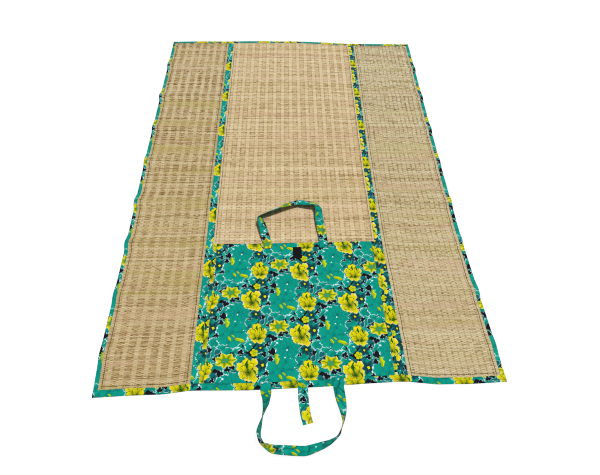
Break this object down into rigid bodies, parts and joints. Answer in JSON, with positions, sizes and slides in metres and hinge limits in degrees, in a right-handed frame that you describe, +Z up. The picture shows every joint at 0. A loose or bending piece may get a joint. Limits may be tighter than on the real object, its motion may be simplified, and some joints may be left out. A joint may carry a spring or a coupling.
{
  "type": "reed floor mat",
  "caption": "Woven reed floor mat with printed cloth binding, hinge strips, bag panel, carrying handles and closing tab, lying open.",
  "frame": {"origin": "on the floor, on the underside of the middle reed panel, half way along the mat and half way across it", "axes": "+X across the mat along the reeds, +Y along the mat away from the end with the bag panel, +Z up"},
  "size_m": [1.236, 2.0341, 0.0321],
  "materials": {
    "reed": "woven dried reed, matt straw colour, a faint sheen on the ribs",
    "printed_cloth": "plain-weave cotton printed with teal and yellow flowers",
    "hook_tape": "black hook tape, matt"
  },
  "bodies": {
    "root": {"reed_panel_left": "reed", "reed_panel_middle": "reed", "reed_panel_right": "reed", "hinge_strip_left": "printed_cloth", "hinge_strip_right": "printed_cloth", "binding_left": "printed_cloth", "binding_right": "printed_cloth", "binding_top": "printed_cloth", "binding_foot": "printed_cloth", "bag_panel": "printed_cloth", "handle_upper": "printed_cloth", "handle_lower": "printed_cloth", "closing_tab": "printed_cloth", "hook_patch": "hook_tape"}
  },
  "joints": []
}
